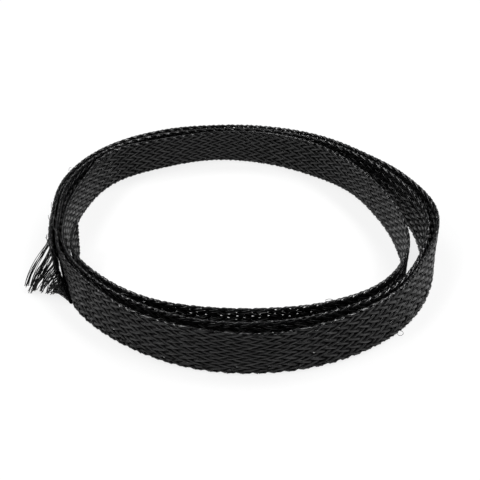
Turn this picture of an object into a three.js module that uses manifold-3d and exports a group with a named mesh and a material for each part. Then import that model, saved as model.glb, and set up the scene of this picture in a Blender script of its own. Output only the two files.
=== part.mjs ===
// Braided cable sleeve: a flattened tube lying on edge in three loose turns, frayed at its outer end.
// Millimetres, +Z up, -Y towards the viewer. One piece of stock, so one node.
import * as THREE from 'three';
import { mergeVertices } from 'three/addons/utils/BufferGeometryUtils.js';
import Module from 'manifold-3d';

const wasm = await Module();
wasm.setup();

// Sleeve, laid flat
const LAY_FLAT_WIDTH = 12.5;
const FLAT_THICKNESS = 1.2;
const WALL_THICKNESS = 0.5;
const FOLD_FLAT = 0.5;
const FOLD_SIDES = 2;
const SLIT_FLAT = 0.06;

// Coil, wound inwards clockwise seen from above; angles are in degrees from the left
const COIL_RADIUS = 53.8;
const TURN_PITCH = 3.2;
const FOOT_START_ANGLE = -31;
const RIM_START_ANGLE = -19;
const SLANT_ANGLE = 40;
const END_ANGLE = 1075;
const STEPS_PER_TURN = 48;
const HEADING_STEP = 0.5;

// How far the lower and upper edge of the loose coil stray outwards from an even spiral
const FIRST_STATION = -40;
const STATION_STEP = 20;
const STATIONS = [
  [-1.6, -2.8], [-2.0, -1.0],
  [-1.0, -0.8], [1.9, 1.9], [2.7, 2.6], [0.9, 0.7], [-0.7, -1.7], [-2.3, -2.3],
  [-1.9, -1.9], [-1.6, -1.6], [1.2, 1.2], [3.2, 3.1], [3.3, 1.5], [3.1, 0.7],
  [1.9, -0.4], [0.8, -0.4], [0.3, -1.2], [-0.2, -1.2], [-0.1, -1.5], [-0.3, 0.4],
  [0.4, 0.7], [3.4, 3.4], [4.2, 4.1], [2.3, 1.7], [0.9, -0.8], [-1.0, -1.1],
  [-0.9, -0.9], [-0.6, -0.6], [1.4, 1.4], [3.5, 3.5], [3.2, 2.8], [2.9, 2.2],
  [0.0, -0.2], [-1.5, -1.5], [-1.7, -1.7], [-1.4, -1.4], [-0.1, -0.1], [1.2, 1.9],
  [1.8, 1.8], [3.8, 2.6], [5.6, 5.6], [3.4, 1.5], [2.5, 0.2], [0.3, 0.0],
  [-1.3, -0.7], [-1.2, -2.4], [-2.0, -2.7], [-0.7, -0.6], [2.0, 2.1], [2.6, 2.6],
  [0.1, 0.1], [-1.9, -1.9], [-2.0, -2.0], [-0.4, -0.4], [1.3, 1.3], [2.5, 3.4],
  [2.0, 0.7], [1.0, -1.0],
];

// Bundles of loose strands that hang from the frayed end, from the first and farthest reaching to the last
const STRAND_BUNDLES = 7;
const STRAND_BUNDLE_RADIUS = 0.28;
const STRAND_BUNDLE_SIDES = 5;
const STRAND_BUNDLE_STEPS = 3;
const STRAND_SAG = 2.5;
const STRAND_REACH = [8.6, 1.6];
const STRAND_ROOT_DROP = [0.6, 4.1];
const STRAND_ROOT_SETBACK = 1.4;
const STRAND_TIP_HEIGHT = 0.4;
const STRAND_TIP_ANGLE = [-17, -24];

// Value of one column of the stations at an angle, on a smooth curve through them
function along(column, angle) {
  const last = STATIONS.length - 1;
  const place = (angle - FIRST_STATION) / STATION_STEP;
  const row = THREE.MathUtils.clamp(Math.floor(place), 0, last - 1);
  const t = place - row;
  const at = (i) => STATIONS[THREE.MathUtils.clamp(i, 0, last)][column];
  const [before, from, to, after] = [at(row - 1), at(row), at(row + 1), at(row + 2)];
  const bend = 2 * before - 5 * from + 4 * to - after;
  const twist = 3 * from - before - 3 * to + after;
  return 0.5 * (2 * from + (to - before + t * (bend + t * twist)) * t);
}

// Point at an angle and a height, so far outwards from the sleeve's middle surface
function routePoint(angle, height, outwards = 0) {
  const stray = THREE.MathUtils.lerp(along(0, angle), along(1, angle), height / LAY_FLAT_WIDTH);
  const radius = COIL_RADIUS - TURN_PITCH * angle / 360 + stray + outwards;
  const turn = THREE.MathUtils.degToRad(180 - angle);
  return new THREE.Vector3(radius * Math.cos(turn), radius * Math.sin(turn), height);
}

// Angle at which the slanted cut of the frayed end crosses a height
function cutAngle(height) {
  return THREE.MathUtils.lerp(FOOT_START_ANGLE, RIM_START_ANGLE, height / LAY_FLAT_WIDTH);
}

// Outline of a flattened tube standing on its fold, with a narrow flat at the top and bottom
function flattenedOutline(halfThickness, halfHeight, halfFlat, sides) {
  const corner = halfThickness - halfFlat;
  const points = [];
  for (const [sideways, upwards] of [[1, -1], [1, 1], [-1, 1], [-1, -1]]) {
    for (let i = 0; i <= sides; i += 1) {
      const share = (sideways * upwards < 0 ? i : sides - i) / sides;
      const turn = share * Math.PI / 2;
      points.push(new THREE.Vector2(
        sideways * (halfFlat + corner * Math.sin(turn)),
        LAY_FLAT_WIDTH / 2 + upwards * (halfHeight - corner + corner * Math.cos(turn)),
      ));
    }
  }
  return points;
}

function toSolid(geometry) {
  const plain = geometry.index ? geometry.toNonIndexed() : geometry.clone();
  plain.deleteAttribute('normal');
  plain.deleteAttribute('uv');
  const merged = mergeVertices(plain, 1e-5);
  return new wasm.Manifold(new wasm.Mesh({
    numProp: 3,
    vertProperties: new Float32Array(merged.attributes.position.array),
    triVerts: new Uint32Array(merged.index.array),
  }));
}

function toGeometry(solid) {
  const mesh = solid.getMesh();
  const geometry = new THREE.BufferGeometry();
  geometry.setAttribute('position', new THREE.BufferAttribute(new Float32Array(mesh.vertProperties), 3));
  geometry.setIndex(new THREE.BufferAttribute(new Uint32Array(mesh.triVerts), 1));
  return geometry;
}

// The sleeve as a straight blank with its slit, then laid along the coil
const section = new THREE.Shape(
  flattenedOutline(FLAT_THICKNESS / 2, LAY_FLAT_WIDTH / 2, FOLD_FLAT / 2, FOLD_SIDES),
);
section.holes.push(new THREE.Path(flattenedOutline(
  FLAT_THICKNESS / 2 - WALL_THICKNESS,
  LAY_FLAT_WIDTH / 2 - WALL_THICKNESS,
  SLIT_FLAT / 2,
  1,
)));
const sweep = END_ANGLE - FOOT_START_ANGLE;
const sleeveShape = new THREE.ExtrudeGeometry(section, {
  depth: sweep,
  steps: Math.round(sweep / 360 * STEPS_PER_TURN),
  bevelEnabled: false,
});
const corners = sleeveShape.attributes.position;
for (let i = 0; i < corners.count; i += 1) {
  const across = corners.getX(i);
  const height = corners.getY(i);
  const run = corners.getZ(i);
  const cutBack = (cutAngle(height) - FOOT_START_ANGLE) * Math.max(0, 1 - run / SLANT_ANGLE);
  const angle = FOOT_START_ANGLE + run + cutBack;
  const spot = routePoint(angle, height);
  const heading = routePoint(angle + HEADING_STEP, height)
    .sub(routePoint(angle - HEADING_STEP, height))
    .normalize();
  corners.setXYZ(i, spot.x - heading.y * across, spot.y + heading.x * across, height);
}

// The loose strands, each bundle falling from the frayed end in a shallow arc
const bundleSection = new THREE.Shape(
  Array.from({ length: STRAND_BUNDLE_SIDES }, (_, i) => {
    const turn = i / STRAND_BUNDLE_SIDES * 2 * Math.PI;
    return new THREE.Vector2(Math.cos(turn), Math.sin(turn)).multiplyScalar(STRAND_BUNDLE_RADIUS);
  }),
);
let solid = toSolid(sleeveShape);
for (let i = 0; i < STRAND_BUNDLES; i += 1) {
  const share = i / (STRAND_BUNDLES - 1);
  const rootHeight = LAY_FLAT_WIDTH - THREE.MathUtils.lerp(...STRAND_ROOT_DROP, share);
  const reach = THREE.MathUtils.lerp(...STRAND_REACH, share);
  const tipAngle = THREE.MathUtils.lerp(...STRAND_TIP_ANGLE, share);
  const from = routePoint(cutAngle(rootHeight) + STRAND_ROOT_SETBACK, rootHeight);
  const to = routePoint(tipAngle, STRAND_TIP_HEIGHT, reach);
  const crest = from.clone().lerp(to, 0.5);
  crest.z += STRAND_SAG;
  const strand = new THREE.ExtrudeGeometry(bundleSection, {
    extrudePath: new THREE.QuadraticBezierCurve3(from, crest, to),
    steps: STRAND_BUNDLE_STEPS,
    bevelEnabled: false,
  });
  solid = solid.add(toSolid(strand));
}

// Origin on the floor, under the middle of the coil's box
const shape = toGeometry(solid);
shape.computeBoundingBox();
const middle = shape.boundingBox.getCenter(new THREE.Vector3());
shape.translate(-middle.x, -middle.y, 0);
shape.computeVertexNormals();

const blackPolyester = new THREE.MeshStandardMaterial({ color: 0x0b0b0c, roughness: 0.45 });
const sleeve = new THREE.Mesh(shape, blackPolyester);
sleeve.name = 'sleeve';

const part = new THREE.Group();
part.name = 'braided_cable_sleeve';
part.add(sleeve);

export default part;
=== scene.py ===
"""Braided cable sleeve, dressed: the braid strand by strand, its frayed end, and the stage it is seen on.

Lengths are in millimetres until a mesh is finished, and in metres from there on.
Angles go round the coil clockwise seen from above, in degrees from the left.
"""
import math
import random

import bmesh
import bpy
import numpy as np
from bpy.props import FloatProperty, FloatVectorProperty, IntProperty, PointerProperty
from mathutils import Matrix, Vector


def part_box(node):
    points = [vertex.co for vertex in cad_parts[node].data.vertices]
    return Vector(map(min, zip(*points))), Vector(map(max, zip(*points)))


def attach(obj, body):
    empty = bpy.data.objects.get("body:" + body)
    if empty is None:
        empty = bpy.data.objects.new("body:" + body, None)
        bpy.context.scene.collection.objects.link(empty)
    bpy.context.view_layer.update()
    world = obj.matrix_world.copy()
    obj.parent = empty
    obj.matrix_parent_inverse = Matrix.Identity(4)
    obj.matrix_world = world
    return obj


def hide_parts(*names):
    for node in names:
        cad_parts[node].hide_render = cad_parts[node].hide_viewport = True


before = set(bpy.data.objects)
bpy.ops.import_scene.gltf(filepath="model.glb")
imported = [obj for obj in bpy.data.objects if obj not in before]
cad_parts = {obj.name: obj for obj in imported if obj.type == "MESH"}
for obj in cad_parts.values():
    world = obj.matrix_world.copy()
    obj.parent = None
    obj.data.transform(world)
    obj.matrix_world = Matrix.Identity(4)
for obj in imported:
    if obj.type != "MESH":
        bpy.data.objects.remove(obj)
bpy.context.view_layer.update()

bl_info = {
    "name": "Braided cable sleeve",
    "version": (1, 0, 0),
    "blender": (4, 5, 0),
    "location": "3D View > Sidebar > Sleeve",
    "description": "Braided cable sleeve lying in three loose turns, with one frayed end",
    "category": "Object",
}

MM = 0.001
SLEEVE_NODE = "sleeve"
FINISH_NAME = "drawn_polyester"
SPAN_NAME = "braid_span_{}"
FRAY_NAME = "frayed_strands"
STRAYS_NAME = "stray_filaments"

# The solid sleeve's own sizes, and the coil that it lies in
LAY_FLAT_WIDTH = 12.5
FLAT_THICKNESS = 1.2
COIL_RADIUS = 53.8
TURN_PITCH = 3.2
FOOT_START_ANGLE = -31.0
RIM_START_ANGLE = -19.0
SLANT_ANGLE = 40.0
END_ANGLE = 1075.0
STEPS_PER_TURN = 48
HEADING_STEP = 0.5

# How far the lower and upper edge of the loose coil stray outwards from an even spiral
FIRST_STATION = -40.0
STATION_STEP = 20.0
STATIONS = (
    (-1.6, -2.8), (-2.0, -1.0),
    (-1.0, -0.8), (1.9, 1.9), (2.7, 2.6), (0.9, 0.7), (-0.7, -1.7), (-2.3, -2.3),
    (-1.9, -1.9), (-1.6, -1.6), (1.2, 1.2), (3.2, 3.1), (3.3, 1.5), (3.1, 0.7),
    (1.9, -0.4), (0.8, -0.4), (0.3, -1.2), (-0.2, -1.2), (-0.1, -1.5), (-0.3, 0.4),
    (0.4, 0.7), (3.4, 3.4), (4.2, 4.1), (2.3, 1.7), (0.9, -0.8), (-1.0, -1.1),
    (-0.9, -0.9), (-0.6, -0.6), (1.4, 1.4), (3.5, 3.5), (3.2, 2.8), (2.9, 2.2),
    (0.0, -0.2), (-1.5, -1.5), (-1.7, -1.7), (-1.4, -1.4), (-0.1, -0.1), (1.2, 1.9),
    (1.8, 1.8), (3.8, 2.6), (5.6, 5.6), (3.4, 1.5), (2.5, 0.2), (0.3, 0.0),
    (-1.3, -0.7), (-1.2, -2.4), (-2.0, -2.7), (-0.7, -0.6), (2.0, 2.1), (2.6, 2.6),
    (0.1, 0.1), (-1.9, -1.9), (-2.0, -2.0), (-0.4, -0.4), (1.3, 1.3), (2.5, 3.4),
    (2.0, 0.7), (1.0, -1.0),
)
BLANK_MARGIN = 12.0

# Distance between the points of a centreline worked out along each span
CORD_STEP = 2.0

# Braid: place of a strand's first crown in pitches, distance over which tiles are welded, how far from the
# upper fold the rim is pressed flat in lengths of the fold, and over what angles the crowding fades and the
# painted shade on the inner end's inner face comes in
FIRST_CROWN = 0.25
WELD_DISTANCE = 0.01
PRESSED_REACH = 2.0
CROWDING_FADE = 180.0
END_SHADE_EDGE = 4.0

# Slow waves in the lattice, round the sleeve and along it: length of a radian along the sleeve and round it
# in mm, and phase
DRIFT_WAVES = ((17.0, math.inf, 1.3), (7.3, 2.1, 0.0), (31.0, -3.7, 0.0))
SLIDE_WAVES = ((11.0, -2.9, 0.0), (5.9, 1.7, 0.0))

# Small leanings of the loose turns that the solid leaves out: middle angle, half width in degrees, and how
# far the foot and the rim move outwards
LEANINGS = (
    (-22.0, 7.0, 0.5, 0.0), (-33.0, 5.0, -0.9, 0.0), (176.0, 10.0, 0.0, 0.5), (181.0, 14.0, -1.5, 0.0),
    (206.0, 9.0, 0.0, -0.6), (328.0, 12.0, 0.7, 0.0), (541.0, 12.0, -0.8, 0.0), (632.0, 30.0, 0.4, 0.4),
    (990.0, 32.0, -0.9, -0.9),
)

# Where the braid is thin enough to see through: middle angle, half width in degrees, range of heights, and
# how far the braid turns round its section there, so that the gaps of both walls line up; then over what
# angle and height an opening fades, and over what angle the turn does
OPENINGS = ((985.0, 48.0, (8.7, 11.0), -0.10), (112.0, 30.0, (11.2, 12.4), 0.18))
OPENING_EDGE = 4.0
OPENING_RIM = 0.5
TURNING_EDGE = 12.0

# Locks of loose strands: how far a lock strays as a share of its width, middle and spread of its tips'
# heights, and range of its bow as a share of the usual one
LOCK_STRAY = 0.3
TIP_HEIGHT = 0.3
TIP_HEIGHT_SPREAD = 1.0
LOCK_BOW = (0.2, 2.0)

# Roots of loose strands: how far below the rim, how many degrees behind the place where they leave, and how
# far they stray
ROOT_BELOW_RIM = 0.5
ROOT_BEHIND = 4.0
ROOT_STRAY = 0.2

# Where loose strands leave the sleeve: past the cut in degrees, outwards, and range of rise
LEAVE_PAST_CUT = 1.5
LEAVE_OUT = 0.6
LEAVE_RISE = (-0.2, 0.5)

# Tips and bends of loose strands: shortest reach, how far reach and tips stray, place of the bend as a
# share, and how much the bow varies
SHORTEST_REACH = 0.2
REACH_STRAY = 0.5
TIP_STRAY = 0.4
BEND_PLACE = 0.6
BOW_VARIETY = (0.7, 1.3)

# Hairs: last angle of those near the frayed end, ranges below the rim, of the tip's rise and of the bow,
# how far out root and tip stand in half thicknesses of the sleeve, and share of the loose strands' dullness
HAIRY_END_ANGLE = 25
HAIR_BELOW_RIM = (0.2, 1.5)
HAIR_TIP_RISE = (-0.4, 0.9)
HAIR_BOW = (0.3, 1.0)
HAIR_ROOT_OUT = 0.6
HAIR_TIP_OUT = (0.6, 2.0)
HAIR_DULLNESS = 0.5

# The two bends of a hair: range of places as a share of its reach, and how far out
HAIR_BENDS = (((0.1, 0.4), 1.3), ((0.6, 1.1), 1.5))

# A loop of one filament that has pulled out of the foot of the outer turn
LOOP_ANGLE = 223.0
LOOP_HEIGHT = 0.8
LOOP_SPAN = 1.2
LOOP_BULGE = 1.6
LOOP_ROOT_DEPTH = 0.2
LOOP_SPREAD = 3

# Vertex layers: how far a point stands aside of its strand's middle, whether it lies in a groove between
# filaments, and how deep it counts in the wall, which sets how much sheen painted shade takes from it
ASIDE = "aside"
GROOVE = "groove"
SHADE_DEPTH = "depth"

# Finish: clouds and grain in the plastic, depth past which the painted shade leaves the least sheen, and
# range of roughness
REFRACTION = 1.57
CLOUD_SCALE = 260
CLOUD_DETAIL = 3
CLOUD_RANGE = (0.35, 0.7)
GRAIN_SCALE = 4200
GRAIN_DETAIL = 2
GRAIN_STRENGTH = 0.25
GRAIN_HEIGHT = 0.00002
DEEPEST_SHADE = 0.6
SMOOTHER = 0.08
ROUGHER = 0.10

# Stage, in metres: the paper of the floor, the softboxes right and left, and what the camera sees nearest
PAPER_ROUGHNESS = 0.9
PAPER_GLOSS = 0.1
SOFTBOX_SPOT = (0.45, -0.1, 0.6)
SOFTBOX_SIDE = 0.2
NEAREST_SEEN = 0.01


# The coil: from an angle, a height and a distance outwards to a point

def coil_radius(angle, height):
    """Radius of the sleeve's middle surface, on a smooth curve through the stations."""
    stations = np.array(STATIONS)
    last = len(stations) - 1
    place = (np.asarray(angle, float) - FIRST_STATION) / STATION_STEP
    row = np.clip(np.floor(place), 0, last - 1).astype(int)
    t = (place - row)[..., None]
    before = stations[np.clip(row - 1, 0, last)]
    start = stations[row]
    end = stations[row + 1]
    after = stations[np.clip(row + 2, 0, last)]
    bend = 2 * before - 5 * start + 4 * end - after
    twist = 3 * start - before - 3 * end + after
    edges = 0.5 * (2 * start + (end - before + t * (bend + t * twist)) * t)
    rise = np.asarray(height, float) / LAY_FLAT_WIDTH
    stray = edges[..., 0] * (1 - rise) + edges[..., 1] * rise
    return COIL_RADIUS - TURN_PITCH * np.asarray(angle, float) / 360 + stray


def leaning(angle, height):
    """How far the small leanings move the sleeve outwards at a place."""
    rise = np.asarray(height, float) / LAY_FLAT_WIDTH
    moved = 0.0
    for middle, half_width, foot, rim in LEANINGS:
        near = np.exp(-((np.asarray(angle, float) - middle) / half_width) ** 2)
        moved = moved + near * (foot * (1 - rise) + rim * rise)
    return moved


def coil_point(angle, height, outwards=0.0, leans=True):
    """Point round the coil's axis, outwards from the middle surface and square to it."""
    def spot(at):
        turn = np.radians(180 - at)
        radius = coil_radius(at, height) + (leaning(at, height) if leans else 0)
        return np.stack([radius * np.cos(turn), radius * np.sin(turn)], axis=-1)

    angle = np.asarray(angle, float)
    heading = spot(angle + HEADING_STEP) - spot(angle - HEADING_STEP)
    heading /= np.linalg.norm(heading, axis=-1, keepdims=True)
    side = np.stack([-heading[..., 1], heading[..., 0]], axis=-1)
    flat = spot(angle) + side * np.asarray(outwards, float)[..., None]
    tall = np.broadcast_to(np.asarray(height, float), flat.shape[:-1])
    return np.concatenate([flat, tall[..., None]], axis=-1)


def cut_angle(height):
    """Angle at which the slanted cut of the frayed end crosses a height."""
    rise = np.asarray(height, float) / LAY_FLAT_WIDTH
    return FOOT_START_ANGLE + (RIM_START_ANGLE - FOOT_START_ANGLE) * rise


def coil_axis():
    """Where the coil's axis stands in the frame, from the solid's right and back extremes."""
    sweep = END_ANGLE - FOOT_START_ANGLE
    run = np.linspace(0, sweep, round(sweep / 360 * STEPS_PER_TURN) + 1)
    reach = []
    for height in (0.0, LAY_FLAT_WIDTH):
        slant = (cut_angle(height) - FOOT_START_ANGLE) * np.maximum(0, 1 - run / SLANT_ANGLE)
        reach.append(coil_point(FOOT_START_ANGLE + run + slant, height, FLAT_THICKNESS / 2, leans=False))
    reach = np.concatenate(reach)
    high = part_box(SLEEVE_NODE)[1] / MM
    return np.array([high.x - reach[:, 0].max(), high.y - reach[:, 1].max(), 0.0])


def length_table():
    """Angles of the coil, and the length of the sleeve's middle line up to each."""
    angle = np.arange(FOOT_START_ANGLE - BLANK_MARGIN, END_ANGLE + BLANK_MARGIN, HEADING_STEP)
    line = coil_point(angle, LAY_FLAT_WIDTH / 2)
    steps = np.linalg.norm(np.diff(line, axis=0), axis=1)
    run = np.concatenate([[0], np.cumsum(steps)])
    return angle, run - np.interp(FOOT_START_ANGLE, angle, run)


COIL_AXIS = coil_axis()
TABLE_ANGLE, TABLE_RUN = length_table()


def run_to_angle(run):
    return np.interp(run, TABLE_RUN, TABLE_ANGLE)


def angle_to_run(angle):
    return np.interp(angle, TABLE_ANGLE, TABLE_RUN)


# The flattened tube's section: from a distance round it to a place across and up it

class Section:
    """Middle line of the wall of a flattened tube that stands on its fold."""

    def __init__(self, wall):
        self.bend = (FLAT_THICKNESS - wall) / 2
        self.side = LAY_FLAT_WIDTH - wall - 2 * self.bend
        self.fold = math.pi * self.bend
        self.girth = 2 * (self.side + self.fold)

    def place(self, around, out):
        """Across and height of points round the section, out from the wall's middle."""
        s = np.mod(around - self.fold / 2, self.girth)
        half = self.side + self.fold
        back = s >= half
        s = np.where(back, s - half, s)
        turn = np.clip(s - self.side, 0, None) / self.bend
        across = (self.bend + out) * np.cos(turn)
        height = np.minimum(s, self.side) - self.side / 2 + (self.bend + out) * np.sin(turn)
        sign = np.where(back, -1, 1)
        return sign * across, LAY_FLAT_WIDTH / 2 + sign * height

    def folded(self, around):
        """How near a point round the section is to the upper fold: from 0 to 1."""
        away = np.abs(np.mod(around, self.girth) - self.girth / 2)
        return np.clip(PRESSED_REACH - away / self.fold, 0, 1)


# Braid

def ribbon_ring(bm, settings, lean):
    """One ring of a strand across the run: filaments side by side as crowns, with a flat back."""
    filaments = settings.filaments
    width = filaments * settings.filament_width / math.cos(lean)
    crest = settings.filament_width / 2
    count = 2 * filaments + 1
    ring = bmesh.ops.create_circle(bm, segments=count, radius=1)["verts"]
    for i, vert in enumerate(ring):
        share = i / (count - 1)
        aside = share - 0.5
        top = crest if i % 2 else crest * settings.groove
        if i in (0, count - 1):
            top = -crest
        vert.co = (0, aside * width, top + settings.crown * (1 - 4 * aside ** 2))
    return ring


def braid_strand(bm, settings, lean, hand, rising):
    """One repeat of one strand, over two strands and under two, from crown to crown."""
    aside = bm.verts.layers.float[ASIDE]
    groove = bm.verts.layers.float[GROOVE]
    pitch = settings.pitch
    spacing = math.tan(lean) * pitch
    wave = settings.lift
    first = hand * FIRST_CROWN
    shoulder = settings.shoulder * wave
    tuck = settings.tuck
    taper = (1 + tuck) / 2
    profile = [
        (0.0, wave, 1.0), (settings.reach, shoulder, taper), (1 - settings.reach, -shoulder, tuck),
        (1.0, -wave, tuck), (1 + settings.reach, -shoulder, tuck), (2 - settings.reach, shoulder, taper),
        (2.0, wave, 1.0),
    ]
    if not rising:
        profile = [(place, -lift, 1 + tuck - width) for place, lift, width in profile]
    ring = ribbon_ring(bm, settings, lean)
    for i, vert in enumerate(ring):
        vert.co.y *= profile[0][2]
        vert[aside] = vert.co.y
        vert[groove] = 1 - i % 2
    here = Vector((first * pitch, hand * first * spacing, profile[0][1]))
    bmesh.ops.translate(bm, verts=ring, vec=here)
    edges = list(dict.fromkeys(edge for vert in ring for edge in vert.link_edges))
    made = list(ring)
    last_width = profile[0][2]
    for place, lift, width in profile[1:]:
        grown = bmesh.ops.extrude_edge_only(bm, edges=edges)["geom"]
        verts = [item for item in grown if isinstance(item, bmesh.types.BMVert)]
        edges = [
            item for item in grown
            if isinstance(item, bmesh.types.BMEdge) and all(v in verts for v in item.verts)
        ]
        there = Vector(((first + place) * pitch, hand * (first + place) * spacing, lift))
        bmesh.ops.translate(bm, verts=verts, vec=there - here)
        narrowing = width / last_width
        bmesh.ops.scale(bm, verts=verts, vec=(1, narrowing, 1), space=Matrix.Translation(-there))
        for vert in verts:
            vert[aside] *= narrowing
        here = there
        last_width = width
        made += verts
    return made


def keep_order(bm):
    """Puts edges and faces in one order for every run, by their lowest and highest vertex."""
    def rank(item):
        indices = [vert.index for vert in item.verts]
        return min(indices) + max(indices) / len(bm.verts)

    bm.verts.index_update()
    bm.edges.sort(key=rank)
    bm.faces.sort(key=rank)


def braid_tile(settings, section):
    """One repeat of the braid, opened out flat: along the run, round the section, and out."""
    bm = bmesh.new()
    bm.verts.layers.float.new(ASIDE)
    bm.verts.layers.float.new(GROOVE)
    spacing = section.girth / settings.strands
    lean = math.atan2(spacing, settings.pitch)
    for hand in (1, -1):
        for parity in (0, 1):
            rising = parity == 0 if hand > 0 else parity == 1
            verts = braid_strand(bm, settings, lean, hand, rising)
            shift = (parity + settings.fold_shift) * spacing
            bmesh.ops.translate(bm, verts=verts, vec=(0, shift, 0))
            faces = list(dict.fromkeys(face for vert in verts for face in vert.link_faces))
            for copy in range(1, settings.strands // 2):
                twin = bmesh.ops.duplicate(bm, geom=verts + faces)["geom"]
                twin_verts = [item for item in twin if isinstance(item, bmesh.types.BMVert)]
                bmesh.ops.translate(bm, verts=twin_verts, vec=(0, 2 * copy * spacing, 0))
    bmesh.ops.recalc_face_normals(bm, faces=bm.faces)
    keep_order(bm)
    mesh = bpy.data.meshes.new("braid_tile")
    bm.to_mesh(mesh)
    bm.free()
    return mesh


def add_object(name, data):
    obj = bpy.data.objects.new(name, data)
    bpy.context.collection.objects.link(obj)
    return obj


def made_mesh(holder):
    """Mesh of an object with its modifiers and bevel applied; the object itself goes."""
    depsgraph = bpy.context.evaluated_depsgraph_get()
    mesh = bpy.data.meshes.new_from_object(holder.evaluated_get(depsgraph))
    bpy.data.objects.remove(holder)
    return mesh


def arrayed(mesh, count, step, name):
    """A row of copies of a tile, welded end to end, as a mesh of its own."""
    holder = add_object(name, mesh)
    array = holder.modifiers.new("row", "ARRAY")
    array.count = count
    array.use_relative_offset = False
    array.use_constant_offset = True
    array.constant_offset_displace = (step, 0, 0)
    array.use_merge_vertices = True
    array.merge_threshold = WELD_DISTANCE
    return made_mesh(holder)


def read_points(mesh):
    points = np.empty(len(mesh.vertices) * 3)
    mesh.vertices.foreach_get("co", points)
    return points.reshape(-1, 3)


def write_points(mesh, points):
    mesh.vertices.foreach_set("co", np.ascontiguousarray(points, float).ravel())
    mesh.update()


def take_layer(mesh, name):
    """Values of a vertex layer, which the mesh then loses."""
    values = np.empty(len(mesh.vertices))
    mesh.attributes[name].data.foreach_get("value", values)
    mesh.attributes.remove(mesh.attributes[name])
    return values


def nearness(angle, middle, half_width):
    """How near an angle is to a middle one, whatever the turn, on a bell curve: from 0 to 1."""
    away = np.mod(angle - middle + 180, 360) - 180
    return np.exp(-(away / half_width) ** 2)


def at_front(angle, settings):
    """How near an angle is to the front of the coil, where the braid is drawn out: from 0 to 1."""
    return nearness(angle, settings.front_angle, settings.front_width)


def lattice_table(settings):
    """Runs of the sleeve, and the distance along the even lattice at each."""
    stretch = 1 + settings.front_stretch * at_front(TABLE_ANGLE, settings)
    steps = np.diff(TABLE_RUN) * 2 / (stretch[1:] + stretch[:-1])
    even = np.concatenate([[0], np.cumsum(steps)])
    return TABLE_RUN, even - np.interp(0, TABLE_RUN, even)


def opened(angle, height):
    """How thin the braid is worn at a place: 0 where it is whole, and 1 inside an opening."""
    thin = np.zeros_like(angle)
    for middle, half_width, (lowest, highest), _ in OPENINGS:
        inside = np.clip((half_width - np.abs(angle - middle)) / OPENING_EDGE, 0, 1)
        band = np.clip(np.minimum(height - lowest, highest - height) / OPENING_RIM, 0, 1)
        thin = np.maximum(thin, inside * band)
    return thin


def lined_up(angle):
    """How far the braid has turned round its section at an angle, and how fully that is so."""
    turned = np.zeros_like(angle)
    share = np.zeros_like(angle)
    for middle, half_width, _, turn in OPENINGS:
        inside = np.clip((half_width - np.abs(angle - middle)) / TURNING_EDGE + 1, 0, 1)
        turned += turn * inside
        share = np.maximum(share, inside)
    return turned, share


def crowded(around, aside, angle, section, settings):
    """Shifts strands to the outer wall where the braid is drawn out, and fits them to the openings."""
    first = np.clip((settings.crowd_fade - angle) / CROWDING_FADE, 0, 1)
    outer = 0.5 + settings.front_crowd * first * at_front(angle, settings)
    share = np.mod((around - aside) / section.girth, 1)
    outside = share < outer
    place = np.where(outside, 0.5 * share / outer, 1 - 0.5 * (1 - share) / (1 - outer))
    ratio = np.where(outside, 0.5 / outer, 0.5 / (1 - outer))
    thin = opened(angle, section.place(around - aside, 0)[1])
    whole = lined_up(angle)[1] * (1 - thin)
    width = 1 + settings.closing * whole - settings.opening * thin
    return place * section.girth + aside * np.minimum(ratio, settings.widest) * width


def wavy(even, around, waves):
    return sum(np.sin(even / along + around / across + phase) for along, across, phase in waves)


def loosened(even, around, angle, settings):
    """Slow drift of the strands out of an even lattice, and their turn round the section."""
    turned, share = lined_up(angle)
    loose = settings.drift * (1 - settings.opening_order * share)
    slide = loose * wavy(even, around, SLIDE_WAVES)
    drift = loose * wavy(even, around, DRIFT_WAVES)
    return even + slide, around + drift + turned


def close_ends(bm):
    """Closes the open ends of strands with flat faces."""
    open_edges = [edge for edge in bm.edges if edge.is_boundary]
    caps = bmesh.ops.holes_fill(bm, edges=open_edges, sides=0)["faces"]
    for face in caps:
        face.smooth = False


def trimmed(mesh, cuts):
    """Cuts the mesh at each plane, drops what lies past it, and closes every strand's end."""
    bm = bmesh.new()
    bm.from_mesh(mesh)
    for point, normal in cuts:
        bmesh.ops.bisect_plane(
            bm,
            geom=bm.verts[:] + bm.edges[:] + bm.faces[:],
            plane_co=point,
            plane_no=normal,
            clear_outer=True,
        )
    for face in bm.faces:
        face.smooth = True
    close_ends(bm)
    bm.to_mesh(mesh)
    bm.free()


def settle(obj, material, node_replaced=False):
    """Gives a finished piece its material and its place in the frame."""
    obj.data.materials.clear()
    obj.data.materials.append(material)
    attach(obj, "root")
    if node_replaced:
        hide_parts(SLEEVE_NODE)


def to_frame(points):
    return (points + COIL_AXIS) * MM


def span_tiles(settings):
    """Number of the tile that each span begins with, and at last of the tile past the inner end."""
    table_run, table_even = lattice_table(settings)
    even_length = np.interp(angle_to_run(END_ANGLE), table_run, table_even)
    tiles = math.ceil(even_length / (2 * settings.pitch)) + 1
    return [round(tiles * k / settings.spans) for k in range(settings.spans + 1)]


def painted_shade_depth(points, groove, across, angle, wall, settings, draw):
    """Painted shade: how deep in the wall each point counts as, from 0 to 1; the deeper, the less sheen it
    keeps.
    """
    depth = 0.5 + (settings.crown / 2 - points[:, 2]) / wall
    # Painted shade in the grooves between filaments; the streaks vary the depth at random along the
    # filaments
    depth += settings.groove_shade * groove + settings.streak * draw.uniform(-1, 1, len(points))
    # Painted light at the back: the painted shade there is drawn towards one depth, so crests and grooves
    # shine alike as under softer light
    calm = settings.back_even_shade * nearness(angle, settings.even_shade_angle, settings.even_shade_width)
    depth += calm * (settings.even_shade_depth - depth)
    # Painted shade on the inner face of the inner end: its sheen is taken away as if it lay in shadow
    near_end = np.clip((angle - settings.end_shade_angle) / END_SHADE_EDGE, 0, 1)
    depth += settings.end_shade * near_end * (across < 0)
    return np.clip(depth, 0, 1)


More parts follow.
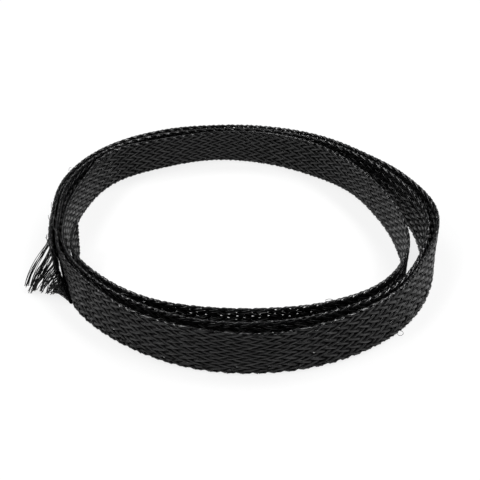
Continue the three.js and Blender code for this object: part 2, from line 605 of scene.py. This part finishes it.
def make_braid(settings, material):
    wall = settings.filament_width + 2 * settings.lift + settings.crown
    section = Section(wall)
    length = float(angle_to_run(END_ANGLE))
    table_run, table_even = lattice_table(settings)
    step = 2 * settings.pitch
    tile = braid_tile(settings, section)
    bounds = span_tiles(settings)
    rim_run = float(angle_to_run(RIM_START_ANGLE))
    slant = Vector((-LAY_FLAT_WIDTH, 0, rim_run)).normalized()
    for k in range(settings.spans):
        name = SPAN_NAME.format(k + 1)
        row = arrayed(tile, bounds[k + 1] - bounds[k], step, name)
        points = read_points(row)
        aside = take_layer(row, ASIDE)
        groove = take_layer(row, GROOVE)
        draw = np.random.default_rng(settings.seed + k)
        points[:, 1:] += settings.jitter * draw.normal(size=(len(points), 2))
        even = points[:, 0] + (bounds[k] - 0.5) * step
        angle = run_to_angle(np.interp(even, table_even, table_run))
        even, around = loosened(even, points[:, 1], angle, settings)
        run = np.interp(even, table_even, table_run)
        angle = run_to_angle(run)
        around = crowded(around, aside, angle, section, settings)
        out = points[:, 2] - settings.crown / 2
        out *= 1 - settings.front_flatness * at_front(angle, settings)
        out += settings.rim_flatness * section.folded(around) * (settings.rim_rise - out)
        across, height = section.place(around, out)
        # Painted shade: how much sheen each point loses, kept as a layer for the material
        depth = painted_shade_depth(points, groove, across, angle, wall, settings, draw)
        row.attributes.new(SHADE_DEPTH, "FLOAT", "POINT").data.foreach_set("value", depth)
        write_points(row, np.stack([run, across, height], axis=1))
        cuts = []
        if k == 0:
            cuts.append(((0, 0, 0), slant))
        if k == settings.spans - 1:
            cuts.append(((length, 0, 0), (1, 0, 0)))
        trimmed(row, cuts)
        blank = read_points(row)
        points = coil_point(run_to_angle(blank[:, 0]), blank[:, 2], blank[:, 1])
        write_points(row, to_frame(points))
        settle(add_object(name, row), material, node_replaced=True)
    bpy.data.meshes.remove(tile)


def declare_cords(settings):
    table_run, table_even = lattice_table(settings)
    ends = (np.array(span_tiles(settings)) - 0.5) * 2 * settings.pitch
    first = angle_to_run(cut_angle(LAY_FLAT_WIDTH / 2))
    ends = np.clip(np.interp(ends, table_even, table_run), first, angle_to_run(END_ANGLE))
    for k in range(settings.spans):
        run = np.linspace(ends[k], ends[k + 1], math.ceil((ends[k + 1] - ends[k]) / CORD_STEP))
        line = to_frame(coil_point(run_to_angle(run), LAY_FLAT_WIDTH / 2))


# Frayed end

def bezier(points, count):
    """Points along the curve of four control points."""
    t = np.linspace(0, 1, count)[:, None]
    a, b, c, d = (np.asarray(p, float) for p in points)
    return (1 - t) ** 3 * a + 3 * (1 - t) ** 2 * t * b + 3 * (1 - t) * t ** 2 * c + t ** 3 * d


def filament_mesh(name, paths, radius, dullness):
    """Round filaments along the paths, with closed ends, as one mesh; as dull as braid at a depth."""
    curve = bpy.data.curves.new(name, "CURVE")
    curve.dimensions = "3D"
    curve.bevel_depth = radius * MM
    curve.bevel_resolution = 1
    curve.use_fill_caps = True
    for path in paths:
        spline = curve.splines.new("POLY")
        spline.points.add(len(path) - 1)
        for point, spot in zip(spline.points, to_frame(path)):
            point.co = (*spot, 1)
    mesh = made_mesh(add_object(name, curve))
    for polygon in mesh.polygons:
        polygon.use_smooth = True
    depth = mesh.attributes.new(SHADE_DEPTH, "FLOAT", "POINT")
    depth.data.foreach_set("value", np.full(len(mesh.vertices), dullness))
    return mesh


def make_fray(settings, braid, material):
    """Loose strands that leave the cut edge, fan out and fall to the floor."""
    draw = random.Random(settings.seed)

    def vary(most=1):
        return draw.uniform(-most, most)

    radius = braid.filament_width / 2 * settings.thinning
    locks = []
    for k in range(settings.locks):
        locks.append((
            (k + 0.5 + vary(LOCK_STRAY)) / settings.locks,
            max(radius, draw.gauss(TIP_HEIGHT, TIP_HEIGHT_SPREAD)),
            vary() * settings.scatter,
            draw.uniform(*LOCK_BOW) * settings.bow,
        ))
    paths = []
    for k in range(settings.strands):
        share = k / (settings.strands - 1)
        lock_share, tip_height, stray, bow = locks[min(int(share * settings.locks), settings.locks - 1)]
        root_height = LAY_FLAT_WIDTH - ROOT_BELOW_RIM - settings.root_drop * share + vary(ROOT_STRAY)
        wall = draw.choice((-1, 1)) * FLAT_THICKNESS / 4
        set_back = max(0, 1 - settings.early_leave * share) * settings.set_back
        leave_angle = cut_angle(root_height) - LEAVE_PAST_CUT + set_back
        root = coil_point(leave_angle + ROOT_BEHIND, root_height, wall)
        leave = coil_point(leave_angle, root_height + draw.uniform(*LEAVE_RISE), wall + LEAVE_OUT)
        tip_share = share + (lock_share - share) * settings.gather
        reach = settings.reach_last + (settings.reach_first - settings.reach_last) * (1 - tip_share) ** 2
        reach = max(SHORTEST_REACH, reach + stray + vary(REACH_STRAY))
        tip_angle = settings.tip_first + (settings.tip_last - settings.tip_first) * math.sqrt(tip_share)
        for _ in range(settings.filaments):
            tip = coil_point(tip_angle + vary(TIP_STRAY), tip_height, reach + vary(TIP_STRAY))
            bend = leave * (1 - BEND_PLACE) + tip * BEND_PLACE
            bend += np.array([vary(), vary(), 0]) * settings.tangle
            bend[2] += bow * draw.uniform(*BOW_VARIETY)
            shift = np.array([vary(), vary(), vary()]) * radius
            path = bezier((root + shift, leave + shift, bend + shift, tip), settings.points)
            path[:, 2] = np.maximum(path[:, 2], radius)
            paths.append(path)
    mesh = filament_mesh(FRAY_NAME, paths, radius, settings.dullness)
    settle(add_object(FRAY_NAME, mesh), material)


def make_strays(settings, braid, material):
    """Single filaments that have worked loose: short hairs along the rims, and one loop at the foot."""
    draw = random.Random(settings.seed)
    radius = braid.filament_width / 2 * settings.hair_thinning
    paths = []
    for k in range(settings.hairs):
        near_end = k < settings.hairs * settings.hairs_near_end
        angle = draw.uniform(RIM_START_ANGLE, HAIRY_END_ANGLE if near_end else END_ANGLE)
        wall = draw.choice((-1, 1)) * FLAT_THICKNESS / 2
        height = LAY_FLAT_WIDTH - draw.uniform(*HAIR_BELOW_RIM)
        reach = math.degrees(draw.uniform(*settings.hair_length) / COIL_RADIUS)
        start = coil_point(angle, height, wall * HAIR_ROOT_OUT)
        end_height = height + draw.uniform(*HAIR_TIP_RISE)
        end = coil_point(angle + reach, end_height, wall * draw.uniform(*HAIR_TIP_OUT))
        bow = draw.uniform(*HAIR_BOW) * settings.hair_rise
        bends = []
        for places, out in HAIR_BENDS:
            bends.append(coil_point(angle + reach * draw.uniform(*places), height + bow, wall * out))
        paths.append(bezier((start, *bends, end), settings.points))
    half = math.degrees(LOOP_SPAN / 2 / COIL_RADIUS)
    foot = FLAT_THICKNESS / 2
    paths.append(bezier((
        coil_point(LOOP_ANGLE - half, LOOP_HEIGHT, foot - LOOP_ROOT_DEPTH),
        coil_point(LOOP_ANGLE - LOOP_SPREAD * half, LOOP_HEIGHT / 2, foot + LOOP_BULGE),
        coil_point(LOOP_ANGLE + LOOP_SPREAD * half, LOOP_HEIGHT / 2, foot + LOOP_BULGE),
        coil_point(LOOP_ANGLE + half, LOOP_HEIGHT, foot - LOOP_ROOT_DEPTH),
    ), settings.points))
    mesh = filament_mesh(STRAYS_NAME, paths, radius, settings.dullness * HAIR_DULLNESS)
    settle(add_object(STRAYS_NAME, mesh), material)


# Finish

def black_polyester(finish):
    """Near-black drawn monofilament: satin, with cloudy gloss, fine drawing streaks, and painted shade that
    takes the sheen from points deep in the wall.
    """
    material = bpy.data.materials.new(FINISH_NAME)
    material.use_nodes = True
    nodes = material.node_tree.nodes
    links = material.node_tree.links
    shader = nodes["Principled BSDF"]
    shader.inputs["IOR"].default_value = REFRACTION
    coords = nodes.new("ShaderNodeTexCoord")

    def noise(scale, detail):
        texture = nodes.new("ShaderNodeTexNoise")
        texture.inputs["Scale"].default_value = scale
        texture.inputs["Detail"].default_value = detail
        links.new(coords.outputs["Object"], texture.inputs["Vector"])
        return texture.outputs["Fac"]

    def drive(value, socket, most, low, high):
        span = nodes.new("ShaderNodeMapRange")
        span.inputs["From Max"].default_value = most
        span.inputs["To Min"].default_value = low
        span.inputs["To Max"].default_value = high
        links.new(value, span.inputs["Value"])
        links.new(span.outputs["Result"], shader.inputs[socket])

    cloud = noise(CLOUD_SCALE, CLOUD_DETAIL)
    tint = nodes.new("ShaderNodeValToRGB")
    for stop, position, colour in zip(tint.color_ramp.elements, CLOUD_RANGE, (finish.dark, finish.light)):
        stop.position = position
        stop.color = (*colour, 1)
    links.new(cloud, tint.inputs["Fac"])
    links.new(tint.outputs["Color"], shader.inputs["Base Color"])

    # Painted shade: the specular level falls with the layer, from crests to grooves and to strands that
    # pass under others
    depth = nodes.new("ShaderNodeAttribute")
    depth.attribute_name = SHADE_DEPTH
    drive(depth.outputs["Fac"], "Specular IOR Level", DEEPEST_SHADE, finish.gloss, finish.shaded_gloss)
    drive(cloud, "Roughness", 1, finish.roughness - SMOOTHER, finish.roughness + ROUGHER)

    bump = nodes.new("ShaderNodeBump")
    bump.inputs["Strength"].default_value = GRAIN_STRENGTH
    bump.inputs["Distance"].default_value = GRAIN_HEIGHT
    links.new(noise(GRAIN_SCALE, GRAIN_DETAIL), bump.inputs["Height"])
    links.new(bump.outputs["Normal"], shader.inputs["Normal"])
    return material


# Stage

def turn_to(obj, way):
    """Turns a lamp or a camera to look one way."""
    obj.rotation_euler = Vector(way).to_track_quat("-Z", "Y").to_euler()


def soft_light(name, spot, aim, side, power):
    light = bpy.data.lights.new(name, "AREA")
    light.size = side
    light.energy = power
    lamp = add_object(name, light)
    lamp.location = spot
    turn_to(lamp, Vector(aim) - Vector(spot))


def far_light(name, side, spread, power):
    light = bpy.data.lights.new(name, "SUN")
    light.energy = power
    light.angle = spread
    turn_to(add_object(name, light), -Vector(side))


def make_stage(stage):
    floor_mesh = bpy.data.meshes.new("floor")
    bm = bmesh.new()
    bmesh.ops.create_grid(bm, x_segments=1, y_segments=1, size=stage.floor_size / 2)
    bm.to_mesh(floor_mesh)
    bm.free()
    floor = add_object("floor", floor_mesh)
    paper = bpy.data.materials.new("white_paper")
    paper.use_nodes = True
    shader = paper.node_tree.nodes["Principled BSDF"]
    shader.inputs["Emission Color"].default_value = (1, 1, 1, 1)
    shader.inputs["Emission Strength"].default_value = stage.floor_glow
    shader.inputs["Base Color"].default_value = (*stage.floor_colour, 1)
    shader.inputs["Roughness"].default_value = PAPER_ROUGHNESS
    shader.inputs["Specular IOR Level"].default_value = PAPER_GLOSS
    floor_mesh.materials.append(paper)

    world = bpy.data.worlds.new("studio")
    world.use_nodes = True
    world.node_tree.nodes["Background"].inputs["Color"].default_value = (1, 1, 1, 1)
    world.node_tree.nodes["Background"].inputs["Strength"].default_value = stage.ambient
    bpy.context.scene.world = world

    far_light("right_top", stage.top_side, stage.top_spread, stage.top_power)
    left_side = (-stage.top_side[0], *stage.top_side[1:])
    far_light("left_top", left_side, stage.top_spread, stage.top_power * stage.left_share)
    rim = (0, 0, LAY_FLAT_WIDTH * MM)
    left_spot = (-SOFTBOX_SPOT[0], *SOFTBOX_SPOT[1:])
    soft_light("left_softbox", left_spot, rim, SOFTBOX_SIDE, stage.side_power)
    soft_light("right_softbox", SOFTBOX_SPOT, rim, SOFTBOX_SIDE, stage.side_power)

    camera = bpy.data.cameras.new("camera")
    camera.sensor_width = stage.sensor
    camera.lens = stage.sensor * stage.focal_pixels / stage.photo_pixels
    camera.clip_start = NEAREST_SEEN
    viewer = add_object("camera", camera)
    target = Vector(to_frame(np.array(stage.target)))
    lift = stage.elevation
    back = Vector((0, -math.cos(lift), math.sin(lift)))
    viewer.location = target + back * stage.distance
    turn_to(viewer, -back)
    bpy.context.scene.camera = viewer
    bpy.context.scene.view_settings.view_transform = "Standard"


# Settings

class BraidSettings(bpy.types.PropertyGroup):
    """Sizes of the braid."""
    strands: IntProperty(
        name="Strands each way", description="Strands that wind one way round the sleeve; an even number",
        default=20, min=8,
    )
    pitch: FloatProperty(
        name="Pitch", description="Distance along the sleeve between strands of one hand, in mm",
        default=3.12, min=0.5,
    )
    filaments: IntProperty(
        name="Filaments", description="Filaments that lie side by side in a strand", default=3, min=1,
    )
    filament_width: FloatProperty(
        name="Filament", description="Thickness of one filament, in mm", default=0.285, min=0.05,
    )
    lift: FloatProperty(
        name="Lift", description="How far a strand rises where it passes over others, in mm",
        default=0.18,
    )
    fold_shift: FloatProperty(
        name="Fold shift", description="Place of the lower fold between two strands, in spacings",
        default=0.25,
    )
    groove: FloatProperty(
        name="Groove", description="Height of the groove between filaments, as a share of their crest",
        default=0.2, min=0, max=1,
    )
    reach: FloatProperty(
        name="Reach", description="How far a strand stays up before it dives, in pitches", default=0.4,
    )
    shoulder: FloatProperty(
        name="Shoulder", description="Height where a strand begins to dive, as a share of its crown",
        default=0.6, min=0, max=1,
    )
    crown: FloatProperty(
        name="Crown", description="How much higher the middle of a strand stands than its sides, in mm",
        default=0.12,
    )
    tuck: FloatProperty(
        name="Tuck", description="Width of a strand where it passes under others, as a share",
        default=0.72,
    )
    jitter: FloatProperty(
        name="Jitter", description="How unevenly the filaments lie, in mm", default=0.025,
    )
    # Painted shade in the grooves between filaments
    groove_shade: FloatProperty(
        name="Groove depth", description="How much deeper the grooves between filaments count as",
        default=0.45,
    )
    streak: FloatProperty(
        name="Streaks", description="How much the depth that dulls a filament varies along it",
        default=0.15,
    )
    seed: IntProperty(name="Seed", description="Start of the random draws", default=3)
    drift: FloatProperty(
        name="Drift", description="How far strands stray out of the even lattice, in mm", default=0.09,
    )
    front_angle: FloatProperty(
        name="Front angle", description="Angle round the coil where the braid is drawn out most",
        default=272.0,
    )
    front_width: FloatProperty(
        name="Front width", description="Half width of the drawn-out stretch, in degrees", default=25.0,
    )
    front_stretch: FloatProperty(
        name="Front stretch", description="How much longer a pitch is there, as a share", default=0.24,
    )
    front_crowd: FloatProperty(
        name="Front crowding", description="Share of the strands that moves to the outer wall there",
        default=0.22,
    )
    front_flatness: FloatProperty(
        name="Front flatness", description="How much flatter the drawn-out braid lies there, as a share",
        default=0.22,
    )
    rim_flatness: FloatProperty(
        name="Rim flatness", description="How much of a strand's rise and fall is pressed flat at the rim",
        default=0.6, min=0, max=1,
    )
    rim_rise: FloatProperty(
        name="Rim rise", description="How far out the strands lie where they are pressed flat, in mm",
        default=0.2,
    )
    # Painted light at the back: where, how wide and how far the painted shade is evened out
    even_shade_angle: FloatProperty(
        name="Back angle", description="Angle round the coil where the braid looks calmest", default=92.0,
    )
    even_shade_width: FloatProperty(
        name="Back width", description="Half width of the calm stretch, in degrees", default=48.0,
    )
    back_even_shade: FloatProperty(
        name="Back calm", description="How much of the difference between crests and grooves is lost there",
        default=0.6, min=0, max=1,
    )
    even_shade_depth: FloatProperty(
        name="Calm depth", description="Depth in the wall that the calm braid is as dull as",
        default=0.38,
    )
    # Painted shade on the inner face of the inner end: where it starts and how strong it is
    end_shade_angle: FloatProperty(
        name="Dull angle", description="Angle past which the inner face of the inner end has no sheen",
        default=1050.0,
    )
    end_shade: FloatProperty(
        name="Dull end", description="How much deeper that face counts as", default=0.5,
    )
    crowd_fade: FloatProperty(
        name="Crowding fade", description="Angle past which there is no crowding; it fades before that",
        default=540.0,
    )
    widest: FloatProperty(
        name="Widest", description="How much a strand may spread where it has room, as a share",
        default=1.1,
    )
    opening: FloatProperty(
        name="Opening", description="How much narrower strands are where the braid is thin, as a share",
        default=0.22,
    )
    closing: FloatProperty(
        name="Closing", description="How much wider strands are beside a thin place, as a share",
        default=0.2,
    )
    opening_order: FloatProperty(
        name="Opening order", description="How much less the strands drift at the openings, as a share",
        default=0.7,
    )
    spans: IntProperty(name="Spans", description="Pieces that the braid is kept in", default=6, min=2)


class FraySettings(bpy.types.PropertyGroup):
    """The loose strands of the outer end."""
    strands: IntProperty(name="Strands", description="Loose strands in the fan", default=64, min=2)
    locks: IntProperty(name="Locks", description="Locks that the strands gather in", default=27, min=1)
    gather: FloatProperty(
        name="Gather", description="How closely the tips of a lock draw together, as a share",
        default=0.8,
    )
    filaments: IntProperty(
        name="Filaments", description="Filaments in each loose strand", default=2, min=1,
    )
    thinning: FloatProperty(
        name="Thinning", description="Thickness of a loose filament, as a share of a braided one",
        default=0.68,
    )
    root_drop: FloatProperty(
        name="Root drop", description="How far below the rim the last strand leaves, in mm", default=11.4,
    )
    reach_first: FloatProperty(
        name="First reach", description="How far out the first tip lies, in mm", default=10.3,
    )
    reach_last: FloatProperty(
        name="Last reach", description="How far out the last tip lies, in mm", default=1.7,
    )
    tip_first: FloatProperty(
        name="First tip", description="Angle of the first tip, in degrees", default=-18.5,
    )
    tip_last: FloatProperty(
        name="Last tip", description="Angle of the last tip, in degrees", default=-23.5,
    )
    bow: FloatProperty(name="Bow", description="How far a strand bows up on its way, in mm", default=2.2)
    scatter: FloatProperty(name="Scatter", description="How unevenly the tips lie, in mm", default=1.3)
    tangle: FloatProperty(
        name="Tangle", description="How far strands wander on their way, in mm", default=1.1,
    )
    dullness: FloatProperty(
        name="Dullness", description="Depth in the braid that the loose strands are as dull as",
        default=0.56,
    )
    set_back: FloatProperty(
        name="Set back", description="How far before the cut the first strand leaves, in degrees",
        default=4.0,
    )
    early_leave: FloatProperty(
        name="Early strands", description="How quickly strands stop leaving before the cut", default=3.0,
    )
    hairs: IntProperty(
        name="Hairs", description="Single filaments worked loose along the rims", default=34,
    )
    hairs_near_end: FloatProperty(
        name="Hairs near end", description="Share of the hairs that stand near the frayed end",
        default=0.4,
    )
    hair_length: FloatVectorProperty(
        name="Hair length", description="Shortest and longest hair, in mm", size=2, default=(1.2, 3.5),
    )
    hair_rise: FloatProperty(name="Hair rise", description="How far a hair stands up, in mm", default=0.8)
    hair_thinning: FloatProperty(
        name="Hair thinning", description="Thickness of a hair, as a share of a braided filament",
        default=0.45,
    )
    points: IntProperty(name="Points", description="Points along a loose filament", default=14, min=4)
    seed: IntProperty(name="Seed", description="Start of the random draws", default=7)


class FinishSettings(bpy.types.PropertyGroup):
    """Colours and gloss of the polyester."""
    dark: FloatVectorProperty(
        name="Dark", description="Darker clouds of the filaments", subtype="COLOR", size=3,
        default=(0.002, 0.002, 0.0022), min=0, max=1,
    )
    light: FloatVectorProperty(
        name="Light", description="Lighter clouds of the filaments", subtype="COLOR", size=3,
        default=(0.005, 0.005, 0.0054), min=0, max=1,
    )
    roughness: FloatProperty(name="Roughness", description="Middle roughness", default=0.3, min=0, max=1)
    gloss: FloatProperty(name="Gloss", description="Specular level on crests", default=0.8, min=0, max=1)
    # Painted shade: the specular level that the deepest, most shaded points keep
    shaded_gloss: FloatProperty(
        name="Deep gloss", description="Specular level where strands pass under others",
        default=0.08, min=0, max=1,
    )


class StageSettings(bpy.types.PropertyGroup):
    """Floor, lights and camera."""
    floor_size: FloatProperty(
        name="Floor", description="Side of the floor", default=4.0, subtype="DISTANCE",
    )
    floor_colour: FloatVectorProperty(
        name="Floor colour", description="Colour of the floor", subtype="COLOR", size=3,
        default=(0.12, 0.12, 0.12), min=0, max=1,
    )
    floor_glow: FloatProperty(
        name="Floor glow", description="Light that the floor gives off itself, as a light table does",
        default=0.8,
    )
    ambient: FloatProperty(
        name="Ambient", description="Strength of the light from all round", default=0.03,
    )
    top_power: FloatProperty(
        name="Top light", description="Strength of the right light above", default=2.2,
    )
    left_share: FloatProperty(
        name="Left share", description="Strength of the left light above, as a share of the right",
        default=0.7,
    )
    top_spread: FloatProperty(
        name="Top spread", description="How wide the lights above are", subtype="ANGLE",
        default=math.radians(25),
    )
    top_side: FloatVectorProperty(
        name="Top side", description="Side that the right light above stands on", size=3,
        default=(0.38, 0.4, 0.85),
    )
    side_power: FloatProperty(
        name="Side lights", description="Power of each side light, in watts", default=3.2,
    )
    sensor: FloatProperty(name="Sensor", description="Width of the camera's sensor, in mm", default=36.0)
    focal_pixels: FloatProperty(
        name="Focal length", description="Focal length in photo pixels", default=852.6,
    )
    photo_pixels: FloatProperty(
        name="Photo width", description="Width of the photo in pixels", default=480.0,
    )
    elevation: FloatProperty(
        name="Elevation", description="Camera's height above the horizon", subtype="ANGLE",
        default=math.radians(36.1),
    )
    distance: FloatProperty(
        name="Distance", description="From the camera to its target", subtype="DISTANCE", default=0.24,
    )
    target: FloatVectorProperty(
        name="Target", description="Point looked at, from the coil's axis on the floor, in mm",
        size=3, default=(0.0, -5.2, 6.0),
    )


class SleeveSettings(bpy.types.PropertyGroup):
    """All settings of the braided sleeve."""
    braid: PointerProperty(name="Braid", description="Sizes of the braid", type=BraidSettings)
    fray: PointerProperty(name="Frayed end", description="The loose strands", type=FraySettings)
    finish: PointerProperty(name="Finish", description="Colours and gloss", type=FinishSettings)
    stage: PointerProperty(name="Stage", description="Floor, lights and camera", type=StageSettings)


def polyester(context):
    found = bpy.data.materials.get(FINISH_NAME)
    return found or black_polyester(context.scene.sleeve.finish)


# Operators and panel

class SLEEVE_OT_braid(bpy.types.Operator):
    """Make the braided walls along the whole coil"""
    bl_idname = "sleeve.braid"
    bl_label = "Braid"

    def execute(self, context):
        make_braid(context.scene.sleeve.braid, polyester(context))
        return {"FINISHED"}


class SLEEVE_OT_frayed_end(bpy.types.Operator):
    """Make the loose strands of the outer end"""
    bl_idname = "sleeve.frayed_end"
    bl_label = "Frayed end"

    def execute(self, context):
        make_fray(context.scene.sleeve.fray, context.scene.sleeve.braid, polyester(context))
        return {"FINISHED"}


class SLEEVE_OT_strays(bpy.types.Operator):
    """Make the single filaments that have worked loose"""
    bl_idname = "sleeve.strays"
    bl_label = "Stray filaments"

    def execute(self, context):
        make_strays(context.scene.sleeve.fray, context.scene.sleeve.braid, polyester(context))
        return {"FINISHED"}


class SLEEVE_OT_cords(bpy.types.Operator):
    bl_idname = "sleeve.cords"
    bl_label = "Declare cords"

    def execute(self, context):
        declare_cords(context.scene.sleeve.braid)
        return {"FINISHED"}


class SLEEVE_OT_stage(bpy.types.Operator):
    """Make the floor, the lights and the camera"""
    bl_idname = "sleeve.stage"
    bl_label = "Stage"

    def execute(self, context):
        make_stage(context.scene.sleeve.stage)
        return {"FINISHED"}


class SLEEVE_PT_sidebar(bpy.types.Panel):
    """Lists the sleeve's pieces and sizes"""
    bl_idname = "SLEEVE_PT_sidebar"
    bl_label = "Braided sleeve"
    bl_space_type = "VIEW_3D"
    bl_region_type = "UI"
    bl_category = "Sleeve"

    def draw(self, context):
        settings = context.scene.sleeve
        rows = (
            (settings.braid, (SLEEVE_OT_braid, SLEEVE_OT_cords)),
            (settings.fray, (SLEEVE_OT_frayed_end, SLEEVE_OT_strays)),
            (settings.finish, ()),
            (settings.stage, (SLEEVE_OT_stage,)),
        )
        for group, operators in rows:
            box = self.layout.box()
            for name in group.bl_rna.properties.keys():
                if name not in ("rna_type", "name"):
                    box.prop(group, name)
            for operator in operators:
                box.operator(operator.bl_idname)


CLASSES = (
    BraidSettings, FraySettings, FinishSettings, StageSettings, SleeveSettings, SLEEVE_OT_braid,
    SLEEVE_OT_frayed_end, SLEEVE_OT_strays, SLEEVE_OT_cords, SLEEVE_OT_stage, SLEEVE_PT_sidebar,
)


def register():
    for item in CLASSES:
        bpy.utils.register_class(item)
    bpy.types.Scene.sleeve = PointerProperty(type=SleeveSettings)


def unregister():
    del bpy.types.Scene.sleeve
    for item in reversed(CLASSES):
        bpy.utils.unregister_class(item)


def main():
    register()
    bpy.ops.sleeve.braid()
    bpy.ops.sleeve.frayed_end()
    bpy.ops.sleeve.strays()
    bpy.ops.sleeve.cords()
    bpy.ops.sleeve.stage()


if __name__ == "__main__":
    main()
